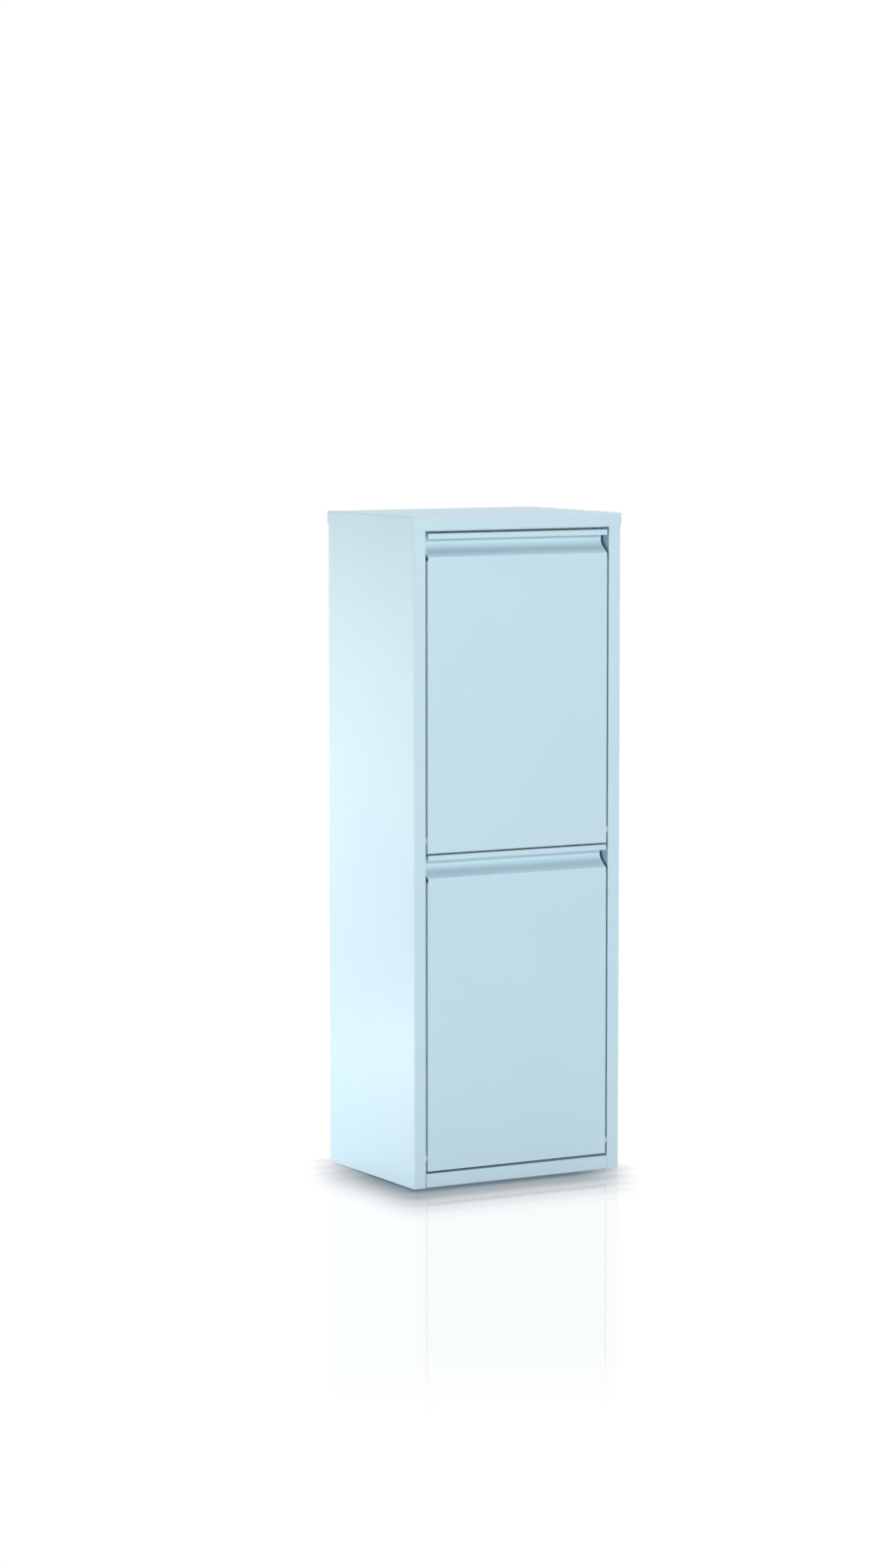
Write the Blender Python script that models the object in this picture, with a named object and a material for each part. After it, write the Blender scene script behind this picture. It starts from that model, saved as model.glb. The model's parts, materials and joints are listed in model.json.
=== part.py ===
"""Slim sheet-steel shoe cabinet with two stacked flaps that tilt out at the top.

Metres, +Z up. X is the width, the flaps face -Y, and the origin is at the middle of the base.
Folded pieces are made from sections: a path along one face of the sheet, a thickness and a bend radius.
Each flap is built round its own pivot line, and its pieces hang from an empty that sits on that line.
"""

import math

import bmesh
import bpy

# Carcass
WIDTH = 0.330
DEPTH = 0.250
HEIGHT = 0.930
SHEET = 0.0008
BEND_RADIUS = 0.0008
BEND_STEPS = 3
GAP = 0.0003
STILE_WIDTH = 0.019
JAMB_DEPTH = 0.030
REAR_RETURN = 0.018
BASE_Z = 0.0015
BOTTOM_RAIL_TOP = 0.021
TOP_RAIL_BOTTOM = 0.910
RAIL_RETURN = 0.020
RAIL_FOLD = 0.012
BUMPER_DEPTH = 0.0215
DIVIDER_DROP = 0.0018
DIVIDER_FOLD = 0.0145
WING_LAP = 0.004
BACK_TOP_GAP = 0.002
LID_STEP = 0.0012
LID_RIM = 0.018
LID_BEND = 0.0016

# Flaps
DOOR_HALF_WIDTH = 0.144
DOOR_HEIGHT = 0.440
LOWER_DOOR_Z = 0.0245
UPPER_DOOR_Z = 0.467
DOOR_FLANGE = 0.017
DOOR_HEM_UP = 0.007
DOOR_HEM_LAP = 0.020
PIVOT_BACK = 0.0065
PIVOT_UP = 0.018
TILT_LIMIT = math.radians(38.0)

# Finger pull folded into the top of each flap
STRIP_HEIGHT = 0.008
GROOVE_DEPTH = 0.017
WALL_BELOW_STRIP = 0.010
RAMP_HEIGHT = 0.0145
RAMP_FACE_RADIUS = 0.0014
RAMP_WALL_RADIUS = 0.008
PULL_INSET = 0.001
RELIEF_HEIGHT = 0.005

# Face stiffener of each flap, a hat section
STIFFENER_HALF_WIDTH = 0.030
STIFFENER_FOOT_X = 0.016
STIFFENER_CROWN_X = 0.012
STIFFENER_DEPTH = 0.006
STIFFENER_END = 0.012

# Shoe rack inside each flap, measured from the pivot line
PLATE_SHEET = 0.0012
PLATE_CORNER = 0.006
PLATE_BELOW_TRAY = 0.006
PLATE_BACK = [(0.206, 0.020), (0.226, 0.110), (0.226, 0.290), (0.180, 0.330), (0.040, 0.372)]
PLATE_FLAT_BOTTOM = 0.120
TRAY_FRONT = 0.006
TRAY_DEPTH = 0.192
TRAY_FRONT_LIP = 0.016
TRAY_RISE = 0.014
TRAY_BACK_LIP = 0.050
TRAY_BACK_LEAN = 0.010
TRAY_RADII = [0.003, 0.010]
TRAY_Z = {"lower": -0.009, "upper": 0.186}
TRAY_SHIFT = {"lower": 0.0, "upper": 0.020}
TRAY_CUT_SHORT = {"lower": 0.0, "upper": 0.008}
BAR_RADIUS = 0.003
BAR_PLACES = {"lower": (0.212, 0.118), "upper": (0.214, 0.278)}

# Pivots and stops
PIVOT_PIN_RADIUS = 0.0020
PIVOT_PIN_REACH = 0.0040
BUSH_BORE = 0.0021
BUSH_RADIUS = 0.0034
BUSH_REACH = 0.0045
BUSH_FLANGE_RADIUS = 0.0056
BUSH_FLANGE_GAP = 0.0005
STOP_PIN_RADIUS = 0.0025
STOP_PIN_REACH = 0.0030
STOP_PLATE_GAP = 0.0004
STOP_HEAD = 0.0012
PIN_HEAD = 0.0014
HEAD_OVERHANG = 0.0020
HEAD_CHAMFER = 0.0004
STOP_BACK = 0.0175
STOP_UP = 0.120
SLOT_CLEARANCE = 0.0004

# Small parts
RIVET_SHANK_RADIUS = 0.0016
RIVET_HOLE_RADIUS = 0.0019
RIVET_HEAD_PROFILE = [(0.0002, 0.0032), (0.0006, 0.0030), (0.0010, 0.0020)]
RIVET_SHANK_DEPTH = 0.0040
RIVET_END_HEIGHT = 0.060
RIVET_ABOVE_DIVIDER = 0.035
FOOT_INSET_X = 0.018
FOOT_INSET_Y = 0.030
FOOT_RADIUS = 0.0086
FOOT_CHAMFER = (0.0004, 0.0006)
FOOT_STEM_RADIUS = 0.0031
FOOT_STEM_TOP = 0.006
FOOT_HOLE_RADIUS = 0.0034
BUFFER_X = 0.105
BUFFER_BELOW = {"upper": 0.0065, "lower": 0.0085}
BUFFER_RADII = (0.0024, 0.0038, 0.0042)
BUFFER_NOSE = 0.0012
KEYHOLE_X = 0.090
KEYHOLE_Z = 0.860
KEYHOLE_RADIUS = 0.0060
KEYHOLE_NECK_HALF_WIDTH = 0.0025
KEYHOLE_NECK_TOP = 0.875
ROUND_STEPS = 24
SMALL_STEPS = 16
CUT_REACH = 0.003

FRONT_Y = -DEPTH / 2
BACK_Y = DEPTH / 2
SIDE_X = WIDTH / 2
OPENING_X = SIDE_X - STILE_WIDTH
INNER_X = SIDE_X - SHEET - GAP
CARCASS_TOP = HEIGHT - SHEET - GAP
JAMB_BACK_Y = FRONT_Y + JAMB_DEPTH
PANEL_BACK_Y = BACK_Y - SHEET - GAP
REAR_INSIDE_Y = PANEL_BACK_Y - SHEET - GAP
BUMPER_FACE_Y = FRONT_Y + BUMPER_DEPTH
RAIL_REACH = OPENING_X - GAP
BUMPER_BOTTOM = TOP_RAIL_BOTTOM - RAIL_FOLD
DIVIDER_TOP = UPPER_DOOR_Z - DIVIDER_DROP
DIVIDER_FOLD_Z = DIVIDER_TOP - DIVIDER_FOLD
FACE_TOP = DOOR_HEIGHT - STRIP_HEIGHT - WALL_BELOW_STRIP - RAMP_HEIGHT
PLATE_OUTER_X = DOOR_HALF_WIDTH - SHEET - GAP
PLATE_INNER_X = PLATE_OUTER_X - PLATE_SHEET
RACK_X = PLATE_INNER_X - GAP
PIVOT_Y = FRONT_Y + PIVOT_BACK
RIVET_X = SIDE_X - REAR_RETURN / 2
RIVET_HEIGHTS = {
    "bottom": RIVET_END_HEIGHT,
    "middle": DIVIDER_TOP + RIVET_ABOVE_DIVIDER,
    "top": HEIGHT - RIVET_END_HEIGHT,
}
SIDES = {"left": -1, "right": 1}
ENDS = {"front": -1, "rear": 1}
DOORS = {"upper": UPPER_DOOR_Z, "lower": LOWER_DOOR_Z}

PALE_BLUE = (0.510, 0.685, 0.775)
ZINC_GREY = (0.55, 0.56, 0.58)
NYLON_WHITE = (0.80, 0.80, 0.78)
RUBBER_BLACK = (0.03, 0.03, 0.032)


def clear_scene():
    for obj in list(bpy.data.objects):
        bpy.data.objects.remove(obj)


def make_material(name, colour, roughness, metallic):
    material = bpy.data.materials.new(name)
    material.use_nodes = True
    shader = material.node_tree.nodes["Principled BSDF"]
    shader.inputs["Base Color"].default_value = (*colour, 1.0)
    shader.inputs["Roughness"].default_value = roughness
    shader.inputs["Metallic"].default_value = metallic
    return material


def paint(part):
    return make_material(part + "_paint", PALE_BLUE, 0.38, 0.0)


def zinc(part):
    return make_material(part + "_zinc", ZINC_GREY, 0.35, 1.0)


def nylon(part):
    return make_material(part + "_nylon", NYLON_WHITE, 0.45, 0.0)


def rubber(part):
    return make_material(part + "_rubber", RUBBER_BLACK, 0.75, 0.0)


# Outlines


def direction(start, end):
    length = math.hypot(end[0] - start[0], end[1] - start[1])
    return ((end[0] - start[0]) / length, (end[1] - start[1]) / length)


def corner_arc(before, corner, after, radius, steps):
    """Centre and unit spokes of the arc that rounds a corner."""
    into = direction(before, corner)
    out = direction(corner, after)
    turn = math.atan2(into[0] * out[1] - into[1] * out[0], into[0] * out[0] + into[1] * out[1])
    sign = 1.0 if turn > 0 else -1.0
    tangent = radius * math.tan(abs(turn) / 2)
    start = (corner[0] - into[0] * tangent, corner[1] - into[1] * tangent)
    centre = (start[0] - into[1] * sign * radius, start[1] + into[0] * sign * radius)
    first = math.atan2(start[1] - centre[1], start[0] - centre[0])
    angles = [first + turn * i / steps for i in range(steps + 1)]
    return centre, [(math.cos(a), math.sin(a)) for a in angles]


def sheet_section(path, side, radii=None):
    """Closed section of a folded sheet that lies left (side 1) or right (side -1) of the path.

    radii gives each corner of the path its inside bend radius.
    """
    near = []
    far = []
    last = len(path) - 1
    for i, point in enumerate(path):
        if i in (0, last):
            along = direction(path[0], path[1]) if i == 0 else direction(path[last - 1], path[last])
            near.append(point)
            far.append((point[0] - along[1] * side * SHEET, point[1] + along[0] * side * SHEET))
            continue
        inside = radii[i - 1] if radii else BEND_RADIUS
        into = direction(path[i - 1], point)
        out = direction(point, path[i + 1])
        turns_left = into[0] * out[1] - into[1] * out[0] > 0
        sheet_inside = turns_left == (side > 0)
        near_radius = inside + SHEET if sheet_inside else inside
        far_radius = inside if sheet_inside else inside + SHEET
        centre, spokes = corner_arc(path[i - 1], point, path[i + 1], near_radius, BEND_STEPS)
        near.extend((centre[0] + s[0] * near_radius, centre[1] + s[1] * near_radius) for s in spokes)
        far.extend((centre[0] + s[0] * far_radius, centre[1] + s[1] * far_radius) for s in spokes)
    return near + far[::-1]


def rounded_outline(points, radius, steps=4):
    outline = []
    count = len(points)
    for i, point in enumerate(points):
        centre, spokes = corner_arc(points[i - 1], point, points[(i + 1) % count], radius, steps)
        outline.extend((centre[0] + s[0] * radius, centre[1] + s[1] * radius) for s in spokes)
    return outline


def arc_slot_outline(radius, half_width, start, end, steps=18, end_steps=6):
    """Bean-shaped slot round the origin. Angles are measured from +Z towards +Y."""

    def at(angle, distance):
        return (math.sin(angle) * distance, math.cos(angle) * distance)

    def end_cap(angle, first_turn):
        middle = at(angle, radius)
        turns = [first_turn + math.pi * i / end_steps for i in range(1, end_steps)]
        return [
            (middle[0] + math.sin(angle + t) * half_width, middle[1] + math.cos(angle + t) * half_width)
            for t in turns
        ]

    sweep = [start + (end - start) * i / steps for i in range(steps + 1)]
    outer = [at(a, radius + half_width) for a in sweep]
    inner = [at(a, radius - half_width) for a in reversed(sweep)]
    return outer + end_cap(end, 0.0) + inner + end_cap(start, math.pi)


# Solids


def place(plane, a, b, height):
    if plane == "XY":
        return (a, b, height)
    if plane == "YZ":
        return (height, a, b)
    return (a, height, b)


def finish(name, bm, material, parent=None):
    bmesh.ops.recalc_face_normals(bm, faces=bm.faces)
    mesh = bpy.data.meshes.new(name)
    bm.to_mesh(mesh)
    bm.free()
    if material:
        mesh.materials.append(material)
    obj = bpy.data.objects.new(name, mesh)
    bpy.context.scene.collection.objects.link(obj)
    obj.parent = parent
    return obj


def prism(name, outline, plane, low, high, material=None, parent=None):
    """An outline in one plane, pulled straight from low to high across it."""
    bm = bmesh.new()
    near = [bm.verts.new(place(plane, a, b, low)) for a, b in outline]
    far = [bm.verts.new(place(plane, a, b, high)) for a, b in outline]
    bm.faces.new(near)
    bm.faces.new(far)
    count = len(outline)
    for i in range(count):
        after = (i + 1) % count
        bm.faces.new((near[i], near[after], far[after], far[i]))
    return finish(name, bm, material, parent)


def box_outline(low, high):
    return [(low[0], low[1]), (high[0], low[1]), (high[0], high[1]), (low[0], high[1])]


def turned(name, profile, centre, axis, material=None, parent=None, steps=ROUND_STEPS):
    """Solid of revolution. profile is (distance along the axis, radius), and a closed ring if it returns."""
    bm = bmesh.new()
    hollow = profile[0] == profile[-1]
    rings = []
    for along, radius in (profile[:-1] if hollow else profile):
        ring = []
        for i in range(steps):
            angle = 2 * math.pi * (i + 0.5) / steps
            offset = (radius * math.cos(angle), radius * math.sin(angle))
            local = (along, *offset) if axis == "X" else (offset[0], along, offset[1])
            if axis == "Z":
                local = (*offset, along)
            ring.append(bm.verts.new([local[k] + centre[k] for k in range(3)]))
        rings.append(ring)
    pairs = list(zip(rings, rings[1:]))
    if hollow:
        pairs.append((rings[-1], rings[0]))
    for ring, following in pairs:
        for i in range(steps):
            after = (i + 1) % steps
            bm.faces.new((ring[i], ring[after], following[after], following[i]))
    if not hollow:
        bm.faces.new(rings[0])
        bm.faces.new(rings[-1])
    obj = finish(name, bm, material, parent)
    obj.data.shade_smooth()
    obj.data.set_sharp_from_angle(angle=math.radians(40))
    return obj


def combine(target, other, operation):
    """Adds or cuts another solid, which stays in the scene as a hidden guide."""
    modifier = target.modifiers.new(operation.lower() + "_" + other.name, "BOOLEAN")
    modifier.operation = operation
    modifier.solver = "EXACT"
    modifier.object = other
    other.hide_render = True
    other.display_type = "WIRE"


def drill(target, centre, axis, radius):
    profile = [(-CUT_REACH, radius), (CUT_REACH, radius)]
    tool = turned("drill_" + target.name, profile, centre, axis, parent=target.parent, steps=SMALL_STEPS)
    combine(target, tool, "DIFFERENCE")


# Carcass pieces


def pivot_height(door):
    return DOORS[door] + PIVOT_UP


def make_side_panel(side):
    """Side, front stile, jamb return and rear return, all folded from one sheet."""
    sign = SIDES[side]
    path = [
        (-SIDE_X + REAR_RETURN, BACK_Y),
        (-SIDE_X, BACK_Y),
        (-SIDE_X, FRONT_Y),
        (-OPENING_X, FRONT_Y),
        (-OPENING_X, JAMB_BACK_Y),
    ]
    section = [(-sign * x, y) for x, y in sheet_section(path, 1)]
    panel = prism(side + "_side_panel", section, "XY", BASE_Z, CARCASS_TOP, paint(side + "_side_panel"))
    for door in DOORS:
        z = pivot_height(door)
        drill(panel, (sign * OPENING_X, PIVOT_Y, z), "X", BUSH_RADIUS + GAP)
        drill(panel, (sign * OPENING_X, PIVOT_Y + STOP_BACK, z + STOP_UP), "X", STOP_PIN_RADIUS + GAP)
    for z in RIVET_HEIGHTS.values():
        drill(panel, (sign * RIVET_X, BACK_Y, z), "Y", RIVET_HOLE_RADIUS)


def add_wings(target, plate_z, flange_z):
    """Side flanges that reach the side panels behind the jambs."""
    for side, sign in SIDES.items():
        path = [(OPENING_X - WING_LAP, plate_z), (INNER_X, plate_z), (INNER_X, flange_z)]
        turn = 1 if flange_z > plate_z else -1
        section = [(sign * x, z) for x, z in sheet_section(path, turn)]
        wing = prism("wing_" + side + "_" + target.name, section, "XZ", JAMB_BACK_Y + GAP, REAR_INSIDE_Y)
        combine(target, wing, "UNION")


def make_bottom_panel():
    """Base tray. Its front edge is the rail below the lower flap."""
    path = [
        (FRONT_Y + RAIL_RETURN, BOTTOM_RAIL_TOP),
        (FRONT_Y, BOTTOM_RAIL_TOP),
        (FRONT_Y, BASE_Z),
        (REAR_INSIDE_Y, BASE_Z),
        (REAR_INSIDE_Y, BOTTOM_RAIL_TOP),
    ]
    section = sheet_section(path, 1)
    panel = prism("bottom_panel", section, "YZ", -RAIL_REACH, RAIL_REACH, paint("bottom_panel"))
    add_wings(panel, BASE_Z, BOTTOM_RAIL_TOP)
    for x, y in foot_places().values():
        drill(panel, (x, y, BASE_Z), "Z", FOOT_HOLE_RADIUS)


def foot_places():
    x = OPENING_X - FOOT_INSET_X
    y = DEPTH / 2 - FOOT_INSET_Y
    return {
        "foot_" + end + "_" + side: (SIDES[side] * x, ENDS[end] * y)
        for end in ENDS
        for side in SIDES
    }


def make_feet():
    """Nylon glides: a disc under the base and a stem through it."""
    disc_top = BASE_Z - GAP
    chamfer_up, chamfer_in = FOOT_CHAMFER
    profile = [
        (0.0, FOOT_RADIUS - chamfer_in),
        (chamfer_up, FOOT_RADIUS),
        (disc_top, FOOT_RADIUS),
        (disc_top, FOOT_STEM_RADIUS),
        (FOOT_STEM_TOP, FOOT_STEM_RADIUS),
    ]
    for name, (x, y) in foot_places().items():
        turned(name, profile, (x, y, 0.0), "Z", nylon(name))


def make_back_panel():
    """Flat sheet inside the rear returns, with two keyholes for wall screws."""
    outline = box_outline((-INNER_X, BASE_Z + GAP), (INNER_X, CARCASS_TOP - BACK_TOP_GAP))
    panel = prism("back_panel", outline, "XZ", PANEL_BACK_Y - SHEET, PANEL_BACK_Y, paint("back_panel"))
    for sign in SIDES.values():
        x = sign * KEYHOLE_X
        drill(panel, (x, PANEL_BACK_Y, KEYHOLE_Z), "Y", KEYHOLE_RADIUS)
        neck_low = (x - KEYHOLE_NECK_HALF_WIDTH, KEYHOLE_Z)
        neck_high = (x + KEYHOLE_NECK_HALF_WIDTH, KEYHOLE_NECK_TOP)
        neck = box_outline(neck_low, neck_high)
        tool = prism("keyhole_neck", neck, "XZ", PANEL_BACK_Y - CUT_REACH, PANEL_BACK_Y + CUT_REACH)
        combine(panel, tool, "DIFFERENCE")
        for z in RIVET_HEIGHTS.values():
            drill(panel, (sign * RIVET_X, PANEL_BACK_Y, z), "Y", RIVET_HOLE_RADIUS)


def make_rear_rivets():
    """Blind rivets that hold the back panel in the side panels' returns."""
    shank = [(-RIVET_SHANK_DEPTH, RIVET_SHANK_RADIUS), (RIVET_HEAD_PROFILE[0][0], RIVET_SHANK_RADIUS)]
    for side, sign in SIDES.items():
        for level, z in RIVET_HEIGHTS.items():
            name = "back_rivet_" + side + "_" + level
            centre = (sign * RIVET_X, BACK_Y, z)
            turned(name, shank + RIVET_HEAD_PROFILE, centre, "Y", zinc(name), steps=SMALL_STEPS)


def make_top_front_rail():
    """Channel under the lid. Its last fold carries the upper flap's buffers."""
    path = [
        (FRONT_Y + RAIL_RETURN, CARCASS_TOP),
        (FRONT_Y, CARCASS_TOP),
        (FRONT_Y, TOP_RAIL_BOTTOM),
        (BUMPER_FACE_Y, TOP_RAIL_BOTTOM),
        (BUMPER_FACE_Y, BUMPER_BOTTOM),
    ]
    prism("top_front_rail", sheet_section(path, 1), "YZ", -RAIL_REACH, RAIL_REACH, paint("top_front_rail"))


def make_top_rear_rail():
    path = [
        (REAR_INSIDE_Y, BUMPER_BOTTOM),
        (REAR_INSIDE_Y, CARCASS_TOP),
        (REAR_INSIDE_Y - RAIL_RETURN, CARCASS_TOP),
    ]
    prism("top_rear_rail", sheet_section(path, 1), "YZ", -RAIL_REACH, RAIL_REACH, paint("top_rear_rail"))


def make_divider_shelf():
    """Shelf between the two flaps. Its front fold carries the lower flap's buffers."""
    path = [
        (BUMPER_FACE_Y, DIVIDER_FOLD_Z),
        (BUMPER_FACE_Y, DIVIDER_TOP),
        (REAR_INSIDE_Y, DIVIDER_TOP),
        (REAR_INSIDE_Y, DIVIDER_FOLD_Z),
    ]
    section = sheet_section(path, -1)
    shelf = prism("divider_shelf", section, "YZ", -RAIL_REACH, RAIL_REACH, paint("divider_shelf"))
    add_wings(shelf, DIVIDER_TOP, DIVIDER_FOLD_Z)


def make_lid():
    """Folded cap that drops over the carcass."""
    half_x = SIDE_X + LID_STEP
    half_y = DEPTH / 2 + LID_STEP
    bottom = HEIGHT - LID_RIM
    bm = bmesh.new()
    bmesh.ops.create_cube(bm, size=1.0)
    for vertex in bm.verts:
        vertex.co.x *= 2 * half_x
        vertex.co.y *= 2 * half_y
        vertex.co.z = HEIGHT if vertex.co.z > 0 else bottom
    lid = finish("lid", bm, paint("lid"))
    weights = lid.data.attributes.new("bevel_weight_edge", "FLOAT", "EDGE")
    for edge in lid.data.edges:
        ends = [lid.data.vertices[v].co.z for v in edge.vertices]
        weights.data[edge.index].value = 1.0 if max(ends) > bottom + GAP else 0.0
    bevel = lid.modifiers.new("fold", "BEVEL")
    bevel.limit_method = "WEIGHT"
    bevel.width = LID_BEND
    bevel.segments = BEND_STEPS
    hollow_x = half_x - SHEET
    hollow_y = half_y - SHEET
    outline = box_outline((-hollow_x, -hollow_y), (hollow_x, hollow_y))
    tool = prism("lid_hollow", outline, "XY", bottom - CUT_REACH, HEIGHT - SHEET)
    combine(lid, tool, "DIFFERENCE")


def make_bushes_and_stops():
    """Nylon bushes that the flaps turn in, and the shouldered studs that limit their swing."""
    for door in DOORS:
        z = pivot_height(door)
        for side, sign in SIDES.items():
            name = door + "_" + side + "_bush"
            inner = sign * (DOOR_HALF_WIDTH + BUSH_FLANGE_GAP)
            shoulder = sign * RAIL_REACH
            end = sign * (OPENING_X + BUSH_REACH)
            ring = [
                (inner, BUSH_BORE),
                (inner, BUSH_FLANGE_RADIUS),
                (shoulder, BUSH_FLANGE_RADIUS),
                (shoulder, BUSH_RADIUS),
                (end, BUSH_RADIUS),
                (end, BUSH_BORE),
                (inner, BUSH_BORE),
            ]
            turned(name, ring, (0.0, PIVOT_Y, z), "X", nylon(name))
            name = door + "_" + side + "_stop_pin"
            inside = PLATE_INNER_X - STOP_PLATE_GAP
            stud = [
                (sign * (OPENING_X + STOP_PIN_REACH), STOP_PIN_RADIUS),
                (sign * inside, STOP_PIN_RADIUS),
                (sign * inside, STOP_PIN_RADIUS + HEAD_OVERHANG),
                (sign * (inside - STOP_HEAD), STOP_PIN_RADIUS + HEAD_OVERHANG - HEAD_CHAMFER),
            ]
            centre = (0.0, PIVOT_Y + STOP_BACK, z + STOP_UP)
            turned(name, stud, centre, "X", zinc(name), steps=SMALL_STEPS)


def make_buffers():
    """Rubber buttons that each flap closes against."""
    rails = {"upper": TOP_RAIL_BOTTOM, "lower": DIVIDER_TOP}
    front = FRONT_Y + GROOVE_DEPTH + SHEET + GAP
    back = BUMPER_FACE_Y - GAP
    profile = list(zip((front, front + BUFFER_NOSE, back), BUFFER_RADII))
    for door, rail in rails.items():
        for side, sign in SIDES.items():
            name = door + "_" + side + "_buffer"
            centre = (sign * BUFFER_X, 0.0, rail - BUFFER_BELOW[door])
            turned(name, profile, centre, "Y", rubber(name), steps=SMALL_STEPS)


# Flap pieces, measured from the pivot line


def door_point(depth, height):
    """Point of the flap, from its front face and its lower edge."""
    return (depth - PIVOT_BACK, height - PIVOT_UP)


def make_door_panel(door, pivot):
    """Flap skin: face with side flanges, turned-in bottom, and the finger pull folded along its top."""
    face_y = -PIVOT_BACK
    flange_y = DOOR_FLANGE - PIVOT_BACK
    path = [
        (-DOOR_HALF_WIDTH, flange_y),
        (-DOOR_HALF_WIDTH, face_y),
        (DOOR_HALF_WIDTH, face_y),
        (DOOR_HALF_WIDTH, flange_y),
    ]
    relief = FACE_TOP - RELIEF_HEIGHT
    name = door + "_door_panel"
    panel = prism(name, sheet_section(path, 1), "XY", -PIVOT_UP, relief - PIVOT_UP, paint(name), pivot)
    pull_path = [
        door_point(0.0, relief),
        door_point(0.0, FACE_TOP),
        door_point(GROOVE_DEPTH, FACE_TOP + RAMP_HEIGHT),
        door_point(GROOVE_DEPTH, DOOR_HEIGHT - SHEET),
        door_point(SHEET, DOOR_HEIGHT - SHEET),
        door_point(SHEET, DOOR_HEIGHT - STRIP_HEIGHT),
    ]
    radii = [RAMP_FACE_RADIUS, RAMP_WALL_RADIUS, BEND_RADIUS, BEND_RADIUS]
    pull_x = DOOR_HALF_WIDTH - PULL_INSET
    pull = prism("pull_" + door, sheet_section(pull_path, -1, radii), "YZ", -pull_x, pull_x, parent=pivot)
    combine(panel, pull, "UNION")
    hem_path = [
        door_point(0.0, DOOR_HEM_LAP),
        door_point(0.0, 0.0),
        door_point(DOOR_FLANGE, 0.0),
        door_point(DOOR_FLANGE, DOOR_HEM_UP),
    ]
    hem = prism("hem_" + door, sheet_section(hem_path, 1), "YZ", -RACK_X, RACK_X, parent=pivot)
    combine(panel, hem, "UNION")
    for sign in SIDES.values():
        drill(panel, (sign * DOOR_HALF_WIDTH, 0.0, 0.0), "X", PIVOT_PIN_RADIUS + GAP)


def make_stiffener(door, pivot):
    """Hat section behind the middle of the face."""
    base = -PIVOT_BACK + SHEET + GAP
    crown = base + STIFFENER_DEPTH
    path = [
        (-STIFFENER_HALF_WIDTH, base),
        (-STIFFENER_FOOT_X, base),
        (-STIFFENER_CROWN_X, crown),
        (STIFFENER_CROWN_X, crown),
        (STIFFENER_FOOT_X, base),
        (STIFFENER_HALF_WIDTH, base),
    ]
    name = door + "_door_stiffener"
    low = STIFFENER_END - PIVOT_UP
    high = FACE_TOP - STIFFENER_END - PIVOT_UP
    prism(name, sheet_section(path, 1), "XY", low, high, paint(name), pivot)


def make_rack_plate(door, side, pivot):
    """Side of the shoe rack, with the arc slot that runs on the stop pin."""
    sign = SIDES[side]
    front = -PIVOT_BACK + SHEET + BEND_RADIUS + GAP
    bottom = TRAY_Z["lower"] - PLATE_BELOW_TRAY
    top = PLATE_BACK[-1][1]
    corners = [(front, bottom), (PLATE_FLAT_BOTTOM, bottom), *PLATE_BACK, (front, top)]
    low, high = sorted((sign * PLATE_INNER_X, sign * PLATE_OUTER_X))
    name = door + "_" + side + "_rack_plate"
    plate = prism(name, rounded_outline(corners, PLATE_CORNER), "YZ", low, high, paint(name), pivot)
    radius = math.hypot(STOP_BACK, STOP_UP)
    start = math.atan2(STOP_BACK, STOP_UP)
    slot = arc_slot_outline(radius, STOP_PIN_RADIUS + SLOT_CLEARANCE, start, start + TILT_LIMIT)
    cutter = prism("slot_" + name, slot, "YZ", low - CUT_REACH, high + CUT_REACH, parent=pivot)
    combine(plate, cutter, "DIFFERENCE")
    drill(plate, (sign * PLATE_OUTER_X, 0.0, 0.0), "X", PIVOT_PIN_RADIUS + GAP)


def make_tray(door, level, pivot):
    """Shoe tray: a floor that rises to the back, between a front lip and a taller back lip."""
    low = TRAY_Z[level]
    front = TRAY_FRONT + TRAY_SHIFT[level]
    back = front + TRAY_DEPTH - TRAY_CUT_SHORT[level]
    path = [
        (front, low + TRAY_FRONT_LIP),
        (front, low),
        (back, low + TRAY_RISE),
        (back + TRAY_BACK_LEAN, low + TRAY_RISE + TRAY_BACK_LIP),
    ]
    name = door + "_door_" + level + "_tray"
    prism(name, sheet_section(path, -1, TRAY_RADII), "YZ", -RACK_X, RACK_X, paint(name), pivot)


def make_guard_bar(door, level, pivot):
    """Round bar that keeps the shoes from sliding off the back."""
    name = door + "_door_" + level + "_bar"
    profile = [(-RACK_X, BAR_RADIUS), (RACK_X, BAR_RADIUS)]
    turned(name, profile, (0.0, *BAR_PLACES[level]), "X", zinc(name), pivot, SMALL_STEPS)


def make_pivot_pin(door, side, pivot):
    """Headed pin fixed in the flap, which turns in the carcass bush."""
    sign = SIDES[side]
    profile = [
        (sign * (RACK_X - PIN_HEAD), PIVOT_PIN_RADIUS + HEAD_OVERHANG - HEAD_CHAMFER),
        (sign * RACK_X, PIVOT_PIN_RADIUS + HEAD_OVERHANG),
        (sign * RACK_X, PIVOT_PIN_RADIUS),
        (sign * (OPENING_X + PIVOT_PIN_REACH), PIVOT_PIN_RADIUS),
    ]
    name = door + "_" + side + "_pivot_pin"
    turned(name, profile, (0.0, 0.0, 0.0), "X", zinc(name), pivot)


def make_flap(door):
    pivot = bpy.data.objects.new(door + "_pivot_line", None)
    pivot.location = (0.0, PIVOT_Y, pivot_height(door))
    bpy.context.scene.collection.objects.link(pivot)
    make_door_panel(door, pivot)
    make_stiffener(door, pivot)
    for side in SIDES:
        make_rack_plate(door, side, pivot)
        make_pivot_pin(door, side, pivot)
    for level in ("lower", "upper"):
        make_tray(door, level, pivot)
        make_guard_bar(door, level, pivot)


def main():
    clear_scene()
    for side in SIDES:
        make_side_panel(side)
    make_bottom_panel()
    make_feet()
    make_back_panel()
    make_rear_rivets()
    make_top_front_rail()
    make_top_rear_rail()
    make_divider_shelf()
    make_lid()
    make_bushes_and_stops()
    make_buffers()
    for door in DOORS:
        make_flap(door)


main()
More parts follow.
